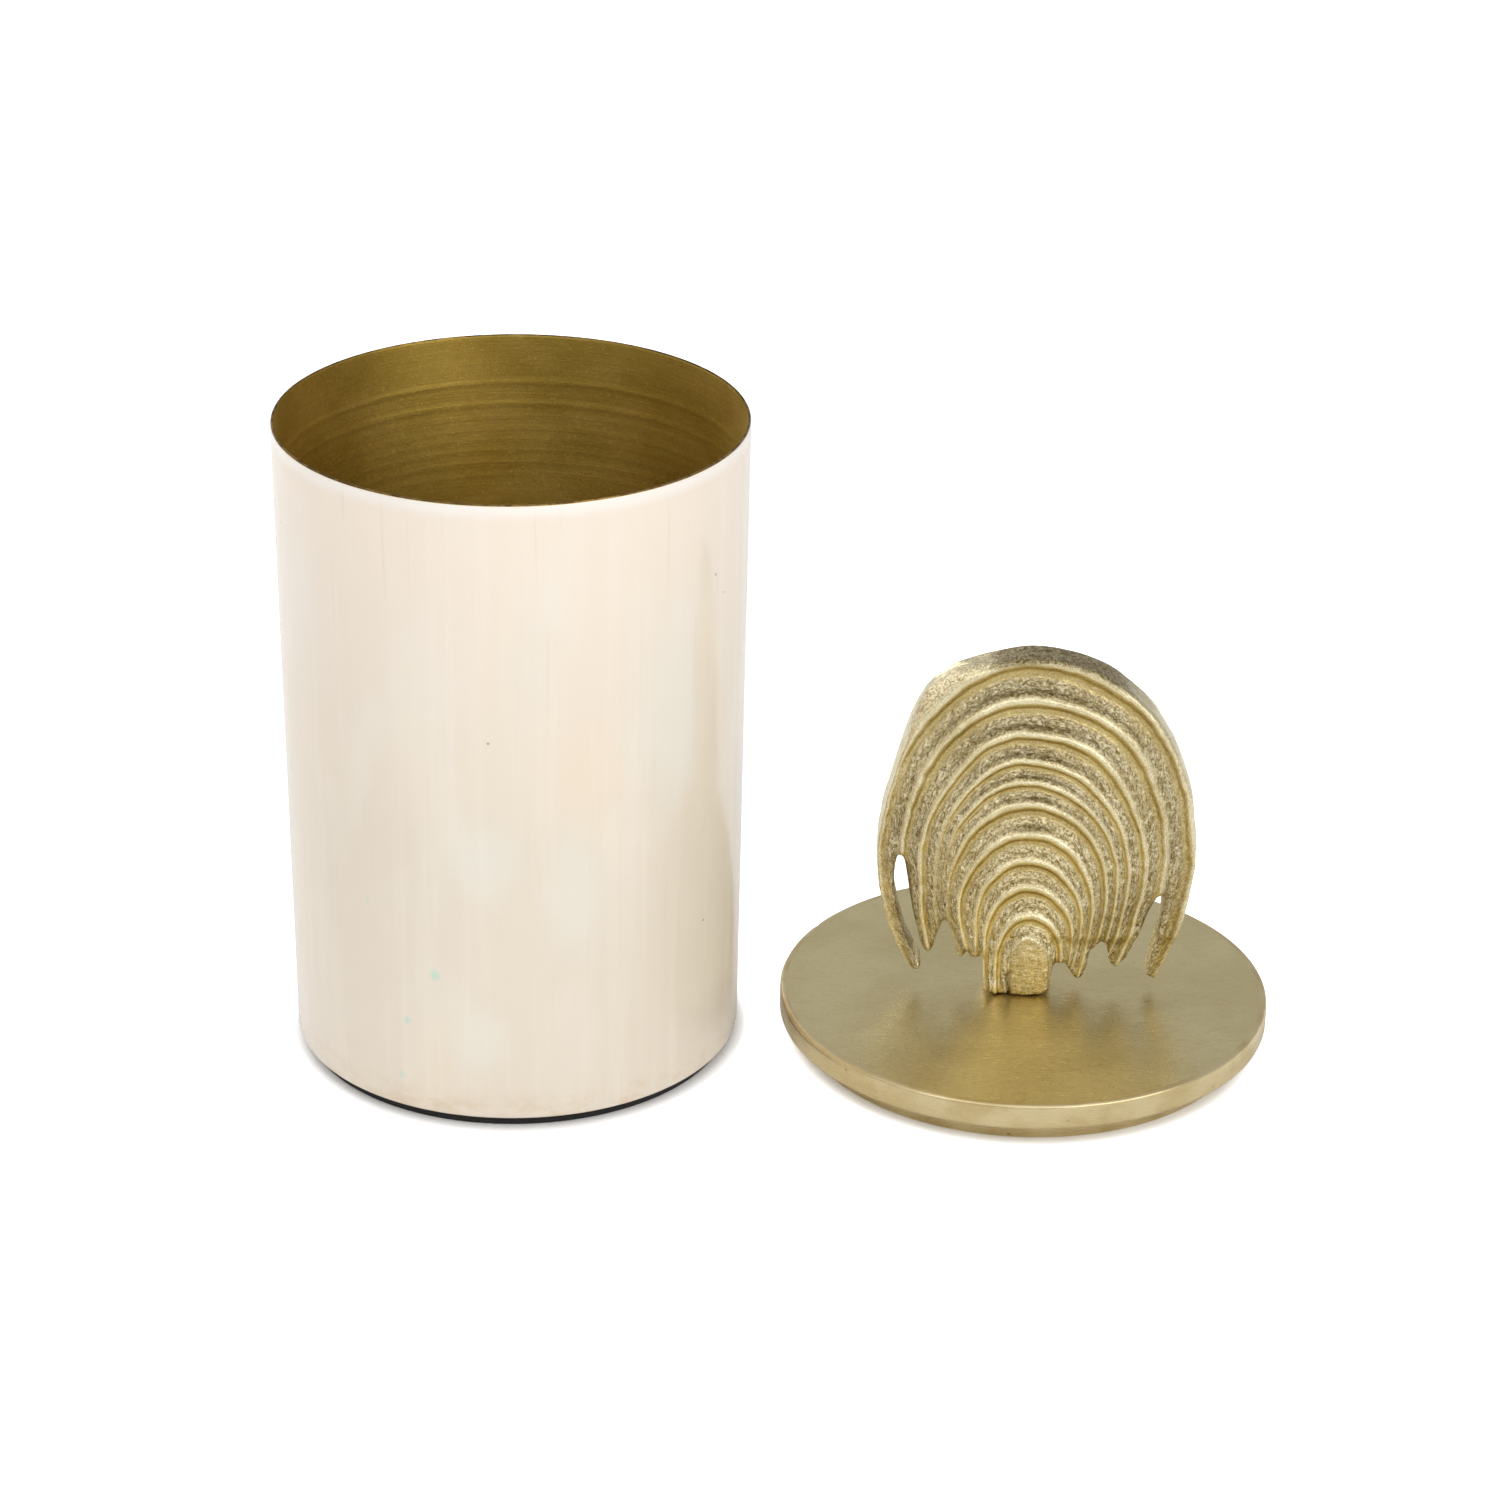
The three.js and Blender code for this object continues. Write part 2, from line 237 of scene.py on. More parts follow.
def cream_enamel():
    m = Nodes("cream_enamel")
    height = m.coordinate_mm("Z")
    # a little darker towards the foot
    body = m.mix(
        m.ramp(height, 90, 190, smooth=False), srgb(228, 216, 198), srgb(241, 227, 210)
    )
    # soft cloudy patches, some cooler and some warmer than the body
    clouds = m.noise(m.scaled(30, 30, 62, (4.2, 0.4, 1.7)), detail=2)
    body = m.mix(m.ramp(clouds, 0.48, 0.7, 0, 0.35), body, srgb(238, 233, 220))
    warm = m.noise(m.scaled(36, 36, 80, (1.3, 7.1, 3.2)), detail=2)
    body = m.mix(m.ramp(warm, 0.5, 0.8, 0, 0.35), body, srgb(240, 220, 194))
    for degrees, middle, wide, tall, strength in COOL_PATCHES:
        share = m.patch(on_tin(degrees, middle), (wide, wide, tall), ragged=0.5)
        body = m.mix(m.math("MULTIPLY", share, strength), body, srgb(230, 226, 213))
    # brush runs: long in Z, narrow around the tin
    runs = m.noise(m.scaled(7, 7, 150), detail=4, rough=0.6)
    body = m.mix(m.ramp(runs, 0.45, 0.72, 0, 0.16), body, srgb(248, 241, 232))
    hairs = m.noise(m.scaled(1.8, 1.8, 60, (0.0, 3.0, 0.5)), detail=1)
    body = m.mix(m.ramp(hairs, 0.66, 0.76, 0, 0.25), body, srgb(228, 206, 182))
    for degrees, middle, wide, tall, strength in GREEN_SPECKS:
        share = m.patch(on_tin(degrees, middle), (wide, wide, tall), ragged=0.6)
        body = m.mix(m.math("MULTIPLY", share, strength), body, srgb(190, 220, 200))
    dark = m.spots(m.scaled(19, 19, 19, (0.7, 0.2, 0.9)))
    body = m.mix(m.ramp(dark, 0.03, 0.018, 0, 0.6), body, srgb(140, 126, 108))
    # a little warm dirt at the foot
    grime = m.noise(m.scaled(9, 9, 5, (2.2, 5.1, 0.3)), detail=4, rough=0.65)
    grime = m.math("MULTIPLY", m.ramp(grime, 0.42, 0.68, 0, 0.5), m.ramp(height, 14, 5))
    body = m.mix(grime, body, srgb(214, 186, 150))
    # thicker, whiter glaze below the rim
    rim = ENAMEL_HIGH.z
    body = m.mix(m.ramp(height, rim - 5, rim - 0.8, 0, 0.6), body, srgb(249, 247, 243))
    m.bump(m.noise(m.scaled(14, 14, 60), detail=2), 0.2)
    m.bump(m.noise(m.scaled(1.4, 1.4, 1.4), detail=2), 0.012)
    return m.set(
        Base_Color=body,
        Roughness=m.ramp(runs, 0.3, 0.7, 0.16, 0.24),
        Coat_Weight=0.35,
        Coat_Roughness=0.06,
        IOR=1.5,
    )


def gold_lacquer():
    m = Nodes("gold_lacquer")
    cloud = m.noise(m.scaled(22, 22, 16), detail=4)
    rings = m.noise(m.scaled(60, 60, 0.9), detail=3, rough=0.7)
    colour = m.mix(m.ramp(cloud, 0.35, 0.65), srgb(190, 161, 74), srgb(204, 175, 90))
    colour = m.mix(m.ramp(rings, 0.55, 0.75, 0, 0.3), colour, srgb(164, 134, 60))
    speck = m.noise(m.scaled(0.7, 0.7, 0.7), detail=2)
    colour = m.mix(m.ramp(speck, 0.6, 0.72, 0, 0.35), colour, srgb(232, 208, 130))
    m.bump(rings, 0.06)
    m.bump(speck, 0.03)
    return m.set(
        Base_Color=colour,
        Metallic=0.9,
        Roughness=m.ramp(speck, 0.3, 0.7, 0.38, 0.48),
        Anisotropic=0.65,
        Anisotropic_Rotation=0.25,
    )


def bare_rim():
    m = Nodes("bare_rim")
    wear = m.noise(m.scaled(3, 3, 3), detail=4)
    # the bare metal is painted dark as painted shade along the thin rim line, mottled by wear
    colour = m.mix(m.ramp(wear, 0.4, 0.6), srgb(84, 62, 30), srgb(140, 112, 62))
    m.bump(wear, 0.08)
    return m.set(Base_Color=colour, Metallic=1.0, Roughness=0.34)


def satin_brass():
    m = Nodes("satin_brass")
    grain = m.noise(m.scaled(3.0, 0.8, 0.8), detail=3, rough=0.6, distortion=0.5)
    cloud = m.noise(m.scaled(30, 24, 24), detail=3)
    colour = m.mix(m.ramp(cloud, 0.35, 0.65), srgb(211, 196, 148), srgb(221, 207, 160))
    colour = m.mix(m.ramp(grain, 0.5, 0.68, 0, 0.25), colour, srgb(170, 150, 106))
    m.bump(grain, 0.07)
    m.bump(m.noise(m.scaled(0.9, 0.9, 0.9), detail=2), 0.06)
    return m.set(
        Base_Color=colour, Metallic=1.0, Roughness=m.ramp(grain, 0.3, 0.7, 0.26, 0.38)
    )


def turned_brass():
    m = Nodes("turned_brass")
    lines = m.noise(m.scaled(40, 40, 0.45), detail=3, rough=0.7)
    cloud = m.noise(m.scaled(14, 14, 9), detail=3)
    nicks = m.spots(m.scaled(9, 9, 5))
    colour = m.mix(m.ramp(cloud, 0.35, 0.65), srgb(204, 184, 136), srgb(218, 201, 158))
    colour = m.mix(m.ramp(nicks, 0.1, 0.05, 0, 0.6), colour, srgb(140, 112, 58))
    m.bump(lines, 0.04)
    m.bump(cloud, 0.2)
    return m.set(
        Base_Color=colour, Metallic=1.0, Roughness=m.ramp(lines, 0.3, 0.7, 0.24, 0.34)
    )


def cast_brass():
    m = Nodes("cast_brass")
    depth = m.attribute("depth")
    rough_band = m.attribute("rough_band")
    creases = m.attribute("creases")
    painted_shade = m.attribute("painted_shade")
    cloud = m.noise(m.scaled(12, 12, 12), detail=3)
    # painted shade: the brass is darker down in the hollows inside each crest than on the crests
    crest = m.mix(m.ramp(cloud, 0.35, 0.65), srgb(226, 214, 173), srgb(238, 227, 189))
    hollow = m.mix(m.ramp(cloud, 0.35, 0.65), srgb(184, 162, 104), srgb(199, 178, 118))
    colour = m.mix(m.ramp(depth, 0.1, 0.9), crest, hollow)
    # fine folds of the cast skin, drawn out along the arches; sizes along, across and in depth in mm
    along_arches = m.node("ShaderNodeCombineXYZ")
    m.join(m.attribute("along"), along_arches.inputs["X"])
    m.join(m.attribute("across"), along_arches.inputs["Y"])
    m.join(m.coordinate_mm("Y"), along_arches.inputs["Z"])
    folds = m.node("ShaderNodeMapping")
    m.join(along_arches.outputs["Vector"], folds.inputs["Vector"])
    folds.inputs["Scale"].default_value = [1 / size for size in (1.7, 0.75, 1.2)]
    pits = m.noise(folds.outputs["Vector"], detail=3, rough=0.62, distortion=1.4)
    # rough bands: painted shade in the folds and painted glints on the facets between them
    glinting_facets = m.mix(m.ramp(cloud, 0.4, 0.6), srgb(241, 227, 183), srgb(249, 238, 201))
    band = m.mix(m.ramp(pits, 0.4, 0.54), srgb(163, 142, 88), glinting_facets)
    colour = m.mix(m.math("MULTIPLY", rough_band, 0.92), colour, band)
    colour = m.mix(m.ramp(pits, 0.36, 0.52, 0.15, 0), colour, srgb(150, 126, 72))
    # painted shade in the creases of the skin and in the crack at the foot
    colour = m.mix(m.ramp(creases, 0.55, 1.0, 0, 0.6), colour, srgb(92, 72, 38))
    # grains of the sand mould as bumps, strongest in the rough bands; in the colour, painted shade in
    # their dark specks and painted glints in their near-white specks
    grit = m.noise(m.scaled(0.6, 0.6, 0.6), detail=2, rough=0.7)
    grit_share = m.ramp(rough_band, 0, 1, 0.25, 0.6)
    grit_shade = m.math("MULTIPLY", m.ramp(grit, 0.5, 0.36), grit_share)
    colour = m.mix(grit_shade, colour, srgb(128, 106, 62))
    grit_glints = m.math("MULTIPLY", m.ramp(grit, 0.52, 0.66), grit_share)
    colour = m.mix(grit_glints, colour, srgb(254, 248, 226))
    patches = m.ramp(pits, 0.42, 0.56, 1, 0.55)
    # painted shade from the attribute above, broken up by the folds of the skin
    colour = m.mix(m.math("MULTIPLY", painted_shade, patches), colour, srgb(110, 90, 38))
    m.bump(m.math("MULTIPLY", pits, m.ramp(rough_band, 0, 1, 0.15, 1)), 0.65)
    m.bump(grit, 0.1)
    return m.set(
        Base_Color=colour,
        Metallic=1.0,
        Roughness=m.ramp(rough_band, 0, 1, 0.27, 0.3),
    )


def plain_steel():
    m = Nodes("plain_steel")
    lines = m.noise(m.scaled(0.5, 6, 0.5), detail=3)
    m.bump(lines, 0.03)
    return m.set(
        Base_Color=m.mix(lines, srgb(150, 150, 148), srgb(196, 196, 193)),
        Metallic=1.0,
        Roughness=m.ramp(lines, 0.3, 0.7, 0.28, 0.42),
    )


def black_rubber():
    m = Nodes("black_rubber")
    grain = m.noise(m.scaled(0.5, 0.5, 0.5), detail=4)
    m.bump(grain, 0.1)
    return m.set(
        Base_Color=m.mix(grain, srgb(14, 13, 13), srgb(34, 32, 31)),
        Roughness=m.ramp(grain, 0.3, 0.7, 0.75, 0.95),
    )


# Extra brightness of the white floor as the camera sees it, faded out where something stands within
# CONTACT_REACH, so that only the contact shadows stay grey.
FLOOR_LIFT = 0.9
CONTACT_REACH = 6
CONTACT_POWER = 3.2


def floor_white():
    m = Nodes("floor_white")
    grain = m.noise(m.scaled(6, 6, 6), detail=3)
    seen = m.node("ShaderNodeLightPath").outputs["Is Camera Ray"]
    open_share = m.node("ShaderNodeAmbientOcclusion", samples=8)
    open_share.inputs["Distance"].default_value = CONTACT_REACH * MM
    lift = m.math("MULTIPLY", seen, m.math("POWER", open_share.outputs["AO"], CONTACT_POWER))
    return m.set(
        Base_Color=m.mix(grain, srgb(250, 250, 250), srgb(252, 252, 252)),
        Roughness=0.8,
        Emission_Color=(1, 1, 1, 1),
        Emission_Strength=m.math("MULTIPLY", lift, FLOOR_LIFT),
    )


# ---- mesh helpers --------------------------------------------------------------------------------


def add_object(name, vertices_mm, faces, materials, sharp_degrees=35):
    mesh = bpy.data.meshes.new(name)
    mesh.from_pydata([tuple(v) for v in np.asarray(vertices_mm) * MM], [], faces)
    mesh.validate()
    mesh.shade_smooth()
    mesh.set_sharp_from_angle(angle=math.radians(sharp_degrees))
    for material in materials:
        mesh.materials.append(material)
    made = bpy.data.objects.new(name, mesh)
    bpy.context.scene.collection.objects.link(made)
    return made


def turned(name, section, materials, centre_x=0.0, steps=ROUND_STEPS, shift=None, paint=None):
    """A closed turned solid. section lists [radius, height]; a radius of 0 is a point on the axis.

    shift(angles, radius, height) says how far a ring's points move outwards, and paint(radius,
    height) picks a face's material."""
    angles = np.arange(steps) * 2 * math.pi / steps
    vertices, rings = [], []
    for radius, height in section:
        if radius == 0:
            rings.append([len(vertices)] * steps)
            vertices.append((centre_x, 0, height))
            continue
        radii = np.full(steps, float(radius))
        if shift:
            radii = radii + shift(angles, radius, height)
        start = len(vertices)
        rings.append(list(range(start, start + steps)))
        vertices.extend(
            (centre_x + r * math.cos(a), r * math.sin(a), height)
            for r, a in zip(radii, angles)
        )
    closed = section[0][0] != 0
    pairs = list(zip(range(len(section) - 1), range(1, len(section))))
    if closed:
        pairs.append((len(section) - 1, 0))
    faces, slots = [], []
    for low, high in pairs:
        middle = [(section[low][i] + section[high][i]) / 2 for i in (0, 1)]
        for i in range(steps):
            j = (i + 1) % steps
            corners = [rings[low][i], rings[low][j], rings[high][j], rings[high][i]]
            face = list(dict.fromkeys(corners))
            if len(face) > 2:
                faces.append(face)
                slots.append(paint(*middle) if paint else 0)
    made = add_object(name, vertices, faces, materials)
    made.data.polygons.foreach_set("material_index", slots)
    return made


def quarter(centre_radius, centre_height, radius, start, end, steps=6):
    """A round corner of a section, in degrees."""
    angles = np.radians(np.linspace(start, end, steps + 1))
    return [
        [centre_radius + radius * math.cos(a), centre_height + radius * math.sin(a)]
        for a in angles
    ]


def waves(angles, height, amount, length, seed):
    """Slow hand-made unevenness around a turned piece, never outwards of its section."""
    values = [
        noise.noise(Vector((math.cos(a) * 3, math.sin(a) * 3, height / length + seed)))
        for a in angles
    ]
    return -amount * (0.5 + 0.5 * np.clip(values, -1, 1))


def place(piece, body, node):
    """Puts a piece on its moving body, in the place of its CAD node."""
    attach(piece, body)
    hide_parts(node)
    return piece


# ---- tin -----------------------------------------------------------------------------------------

RIM_RADIUS = ENAMEL_HIGH.x
BASE_RADIUS = 67.6
ENAMEL_THICK = RIM_RADIUS - WALL_HIGH.x
SHEET_THICK = 0.7
LIP_WIDTH = 3
LIP_INNER = BASE_RADIUS - ENAMEL_THICK - SHEET_THICK - LIP_WIDTH
BOTTOM_EDGE = 1.5
WALL_EDGE = 1.2
RIM_ROUNDING = 0.12
RIM_CORNER = 0.25
BARE_BAND = 0.6
# Grooves spun into the inside of the wall: how far below the rim, and how deep, all in mm.
SPUN_RINGS = {16: 0.15, 23: 0.13, 27: 0.04, 31: 0.05, 34.5: 0.04, 38: 0.05, 42: 0.08, 46: 0.04}
RING_HALF_WIDTH = 0.7


def tin_radius(height):
    share = (height - ENAMEL_LOW.z) / (WALL_HIGH.z - ENAMEL_LOW.z)
    return BASE_RADIUS + (RIM_RADIUS - BASE_RADIUS) * share


def spin_lines(angles, radius, height):
    """Shallow spun grooves inside the wall, which wander a little around it."""
    outside = tin_radius(height) - ENAMEL_THICK - SHEET_THICK / 2
    if radius > outside or radius < outside - 2:
        return np.zeros(len(angles))
    depth = WALL_HIGH.z - height + 0.9 * np.sin(angles + 0.6)
    total = np.zeros(len(angles))
    for ring, strength in SPUN_RINGS.items():
        total += strength * np.exp(-(((depth - ring) / RING_HALF_WIDTH) ** 2))
    return -total


def build_wall():
    """The sheet of the tin, with a lip turned in below."""
    bottom, rim = WALL_LOW.z, WALL_HIGH.z
    lip_top = bottom + SHEET_THICK
    corner = rim - RIM_CORNER
    outside = ENAMEL_THICK
    inside = outside + SHEET_THICK
    # close steps where the spun rings are, wide steps below them
    inside_heights = list(rim - np.arange(1, 60, 0.75)) + list(np.arange(135, 8, -6.0))
    section = [[LIP_INNER, bottom]]
    section += quarter(BASE_RADIUS - BOTTOM_EDGE, bottom + WALL_EDGE, WALL_EDGE, -90, 0)
    section += [[tin_radius(h) - outside, h] for h in range(20, 190, 15)]
    section += [[tin_radius(rim - 0.3) - outside, corner], [RIM_RADIUS - outside - RIM_ROUNDING, rim]]
    section += [[RIM_RADIUS - inside + RIM_ROUNDING, rim], [tin_radius(rim - 0.3) - inside, corner]]
    section += [[tin_radius(h) - inside, h] for h in inside_heights]
    section += [[tin_radius(lip_top) - inside - 0.8, lip_top], [LIP_INNER, lip_top]]
    wall = turned(
        "tin_wall_spun",
        section,
        [GOLD_LACQUER, BARE_RIM],
        shift=spin_lines,
        paint=lambda r, h: 1 if h > rim - BARE_BAND else 0,
    )
    return place(wall, "tin", "tin_wall")


def glaze_surface(angles, radius, height):
    """The glaze thins and thickens down the tin; its upper edge is slightly chipped."""
    if radius < tin_radius(height) - ENAMEL_THICK / 2:
        return np.zeros(len(angles))
    uneven = waves(angles, height, amount=0.1, length=45, seed=2.0)
    if height > ENAMEL_HIGH.z - 0.5:
        uneven += waves(angles * 4, height, amount=0.1, length=1, seed=9.0)
    return uneven


def build_enamel():
    bottom, top = ENAMEL_LOW.z, ENAMEL_HIGH.z
    inset = ENAMEL_THICK
    section = [[LIP_INNER, bottom]]
    section += quarter(BASE_RADIUS - BOTTOM_EDGE, bottom + BOTTOM_EDGE, BOTTOM_EDGE, -90, 0)
    section += [[tin_radius(h), h] for h in range(10, 196, 5)]
    corner = top - RIM_CORNER
    section += [[tin_radius(corner), corner], [tin_radius(top) - RIM_ROUNDING, top]]
    section += [[tin_radius(top) - inset, top]]
    section += [[tin_radius(h) - inset, h] for h in range(190, 10, -15)]
    section += quarter(BASE_RADIUS - BOTTOM_EDGE, bottom + BOTTOM_EDGE, BOTTOM_EDGE - inset, 0, -90)
    section += [[LIP_INNER, bottom + inset]]
    enamel = turned("enamel_glaze", section, [CREAM_ENAMEL], shift=glaze_surface)
    return place(enamel, "tin", "enamel_coat")


def build_floor():
    low, high = FLOOR_LOW.z, FLOOR_HIGH.z
    radius = FLOOR_HIGH.x
    # a shallow step pressed into the disc near its edge
    bead = 5.0
    section = [[0, low], [radius - 0.3, low], [radius, low + 0.2], [radius, high - 0.2]]
    section += [[radius - 0.3, high], [radius - bead, high], [radius - bead - 1, high - 0.15]]
    section += [[radius - bead - 2, high]]
    section += [[radius * share, high] for share in (0.75, 0.5, 0.25)] + [[0, high]]
    piece = turned("tin_floor_disc", section, [GOLD_LACQUER])
    return place(piece, "tin", "tin_floor")


def build_pad():
    """A rubber disc with a plug that fills the opening inside the tin's lip."""
    edge = 0.5
    plug = LIP_INNER - 0.4
    radius, step = PAD_HIGH.x, ENAMEL_LOW.z
    section = [[0, 0], [radius - edge, 0]]
    section += quarter(radius - edge, edge, edge, -80, 0, 4)
    section += [[radius, step], [plug, step], [plug, PAD_HIGH.z]]
    section += [[0, PAD_HIGH.z]]
    pad = turned("base_pad_rubber", section, [BLACK_RUBBER])
    return place(pad, "tin", "base_pad")


# ---- lid -----------------------------------------------------------------------------------------

# The height of the flange's underside, where the lid sits on the rim.
SEAT = 7.4
PLATE_SHEET = 1.0
PLATE_BEVEL = 0.7
PLATE_CORNER = 1.7
PLATE_SKIRT = 2.8
COLLAR_TOP_RADIUS = 68.4
COLLAR_BOTTOM_RADIUS = 67.2
COLLAR_SHEET = 0.9
SCREW_HOLE = 3.3
SET_HOLE = 2.3
# Nicks in the lid's upper edge: angle from +X and half width in radians, and depth in mm.
NICKS = (
    (-1.35, 0.1575),
    (-0.62, 0.18),
    (-0.32, 0.27),
    (-0.18, 0.405),
    (0.9, 0.27),
    (2.6, 0.36),
    (3.9, 0.225),
)
NICK_HALF_WIDTH = 0.012


def worn_edge(angles, radius, height):
    """Nicks and slow waves along the lid's upper edge."""
    if radius < PLATE_RADIUS - 1.2 or height < PLATE_TOP - 1.5:
        return np.zeros(len(angles))
    total = waves(angles * 2, height, amount=0.12, length=4, seed=5.0)
    for where, depth in NICKS:
        gap = np.angle(np.exp(1j * (angles - where)))
        total -= depth * np.exp(-((gap / NICK_HALF_WIDTH) ** 2))
    return total


def build_plate():
    """A shallow pan, open below, with a rounded lower edge and a worn bevel above."""
    radius, skirt = PLATE_RADIUS, PLATE_RADIUS - PLATE_SKIRT
    low, high = PLATE_LOW.z, PLATE_TOP
    under = high - PLATE_SHEET
    section = [[SCREW_HOLE, under]]
    section += [[radius * share, under] for share in (0.25, 0.5, 0.75)]
    section += [[radius - PLATE_SHEET, under], [radius - PLATE_SHEET, SEAT]]
    section += [[skirt, SEAT], [skirt, low + 0.2], [skirt + 0.2, low]]
    section += quarter(radius - PLATE_CORNER, low + PLATE_CORNER, PLATE_CORNER, -90, 0)
    section += [[radius, low + 3.4], [radius, high - 2.2], [radius, high - PLATE_BEVEL]]
    section += [[radius - 0.25, high - 0.25], [radius - PLATE_BEVEL, high]]
    section += [[radius - 2, high]]
    section += [[radius * share, high] for share in (0.9, 0.75, 0.5, 0.25)]
    section += [[SCREW_HOLE, high]]
    plate = turned(
        "lid_plate_pan",
        section,
        [SATIN_BRASS, TURNED_BRASS],
        centre_x=LID_X,
        shift=worn_edge,
        paint=lambda r, h: 1 if r > radius - 1.9 else 0,
    )
    return place(plate, "lid", "lid_plate")


def build_collar():
    """A tapered ring with a flange inside the plate's edge."""
    flange = COLLAR_HIGH.x - LID_X
    top, bottom = COLLAR_TOP_RADIUS, COLLAR_BOTTOM_RADIUS
    inside = bottom - COLLAR_SHEET
    edge = 0.4
    section = [[top + 0.2, SEAT], [flange, SEAT], [flange, COLLAR_HIGH.z]]
    section += [[top - COLLAR_SHEET, COLLAR_HIGH.z], [inside, edge], [inside + 0.2, 0]]
    section += [[bottom - edge, 0], [bottom - 0.12, 0.12], [bottom, edge]]
    section += [[bottom + (top - bottom) * share, SEAT * share] for share in (0.35, 0.7, 0.96)]
    collar = turned("lid_collar_ring", section, [TURNED_BRASS], centre_x=LID_X)
    return place(collar, "lid", "lid_collar")


# ---- finial --------------------------------------------------------------------------------------

# The nested arches, outside in, as in the part, measured from the middle of the finial's foot. Each
# row has the columns named here. The last arch is the smooth tongue at the foot.
CROWN, LEFT_HALF, RIGHT_HALF, SHOULDER, LEFT_FOOT_X, LEFT_FOOT_Z, RIGHT_FOOT_X, RIGHT_FOOT_Z = range(8)
ARCHES = np.array(
    [
        (112.2, 46.0, 50.2, 48, 35.4, 9.2, 40.4, 6.0),
        (99.3, 38.4, 41.2, 52, 33.5, 12.0, 34.5, 9.0),
        (88.4, 33.0, 35.5, 42, 29.5, 14.5, 27.3, 9.5),
        (79.4, 28.6, 30.5, 40, 26.0, 20.0, 25.6, 14.0),
        (72.3, 26.6, 27.2, 38, 22.5, 15.0, 23.5, 15.0),
        (64.8, 24.8, 24.0, 36, 19.4, 12.5, 20.0, 13.0),
        (55.2, 20.8, 19.7, 31, 17.0, 12.5, 16.4, 6.0),
        (47.0, 15.8, 16.6, 25, 15.2, 12.0, 14.0, 8.0),
        (37.3, 13.3, 14.3, 19, 12.6, 2.0, 11.4, 2.0),
        (27.3, 9.6, 11.4, 13, 9.4, 0.0, 9.6, 0.0),
        (19.3, 4.6, 7.8, 9, 4.6, 0.0, 7.6, 0.0),
    ]
)

# The ends of the legs as [x, height], from the right outer leg to the foot and on to the left one.
RIGHT_FEET = (
    (39.4, 5.4), (37.1, 6.0), (37.9, 10.0), (39.9, 20.0), (41.7, 32.4), (40.9, 34.3), (39.5, 34.3),
    (37.9, 31.0), (35.4, 23.4), (31.2, 12.2), (28.8, 9.6), (26.8, 9.4), (25.7, 11.0), (25.2, 15.4),
    (24.0, 18.2), (21.4, 16.6), (19.8, 14.4), (18.7, 7.0), (17.0, 4.9), (15.2, 5.2), (14.0, 7.4),
    (12.4, 9.9), (9.2, 10.2), (8.3, 7.0), (8.0, 0.0),
)
LEFT_FEET = (
    (-12.0, 0.0), (-12.4, 6.0), (-12.7, 12.8), (-14.2, 12.2), (-15.6, 11.6), (-16.8, 12.4),
    (-17.7, 14.2), (-18.8, 12.3), (-20.2, 12.0), (-21.2, 14.4), (-22.4, 20.6), (-24.0, 24.4),
    (-25.6, 25.0), (-26.8, 21.4), (-28.2, 15.4), (-29.6, 13.8), (-31.0, 14.4), (-32.2, 17.6),
    (-35.4, 31.4), (-37.2, 43.0), (-38.4, 47.0), (-39.7, 46.9), (-40.8, 43.0), (-40.4, 34.2),
    (-37.3, 20.4), (-33.8, 12.8), (-31.7, 9.6), (-32.2, 8.0), (-34.2, 7.6),
)

SLAB_HALF_DEPTH = 7.0
FOOT_HALF_DEPTH = 7.65
FOOT_MIDDLE = -2
FOOT_HALF_WIDTH = 12
FOOT_TOP = 19
EDGE_ROUNDING = 2.2
DEEPEST_GROOVE = 2.1
# how far the ridges wander off their arches, and over what length
WANDER = 1.0
WANDER_LENGTH = 19.0
# the ridges that fade on the left: the middle one's place in the family, and how far they spread
FADING_RIDGE = 4.2
FADING_SPREAD = 1.3
# added from ridge to ridge and on the tongue, so that the skin of one doesn't repeat on the next
RIDGE_OFFSET = 37
TONGUE_OFFSET = 400
TONGUE_MIDDLE = 1.7
TONGUE_HALF_WIDTH = 6.6
CRACK_X = -5.0
# how far the swollen shoulder falls away behind its crest, in front and at the back
FRONT_FALL = 3.2
BACK_FALL = 1.0
# the cast skin's unevenness: its folds in the rough bands, and slow waves and lumps everywhere
FOLD_DEPTH = 0.8
WAVE_DEPTH = 0.25
LUMP_DEPTH = 0.2
VOXEL = 0.4

# Where the outer arch swells out of its ellipse or sinks into it, as in the part: the middle in
# degrees from the crown, positive to the right, the half width in degrees, and the height.
SWELLINGS = ((-37, 14.5, 3.9), (-70, 14, -0.8), (45, 30, 1.0))


def smoothstep(value, low, high):
    share = np.clip((value - low) / (high - low), 0, 1)
    return share * share * (3 - 2 * share)


def arch_side(values, left):
    """Half width, foot x and foot height of the given arches, on the left or on the right."""

    def pick(left_column, right_column):
        return np.where(left, values[left_column], values[right_column])

    half = pick(LEFT_HALF, RIGHT_HALF)
    return half, pick(LEFT_FOOT_X, RIGHT_FOOT_X), pick(LEFT_FOOT_Z, RIGHT_FOOT_Z)


def inside_arch(x, z, place_in_family):
    """Positive where a point is inside the arch at a place in the family, from 0 outermost."""
    index = np.arange(len(ARCHES))
    values = [np.interp(place_in_family, index, column) for column in ARCHES.T]
    crown, shoulder = values[CROWN], values[SHOULDER]
    half, foot_x, foot_z = arch_side(values, x < 0)
    above = 1 - (np.abs(x) / half) ** 2 - ((z - shoulder) / (crown - shoulder)) ** 2
    share = (shoulder - z) / (shoulder - foot_z)
    below = half + (foot_x - half) * share**2 - np.abs(x)
    return np.where(z >= shoulder, above, below)


def arch_place(x, z):
    """Where each point lies in the family of arches: whole numbers are the crests."""
    low = np.zeros(len(x))
    high = np.full(len(x), len(ARCHES) - 1.0)
    for _ in range(20):
        middle = (low + high) / 2
        inside = inside_arch(x, z, middle) > 0
        low = np.where(inside, middle, low)
        high = np.where(inside, high, middle)
    return (low + high) / 2


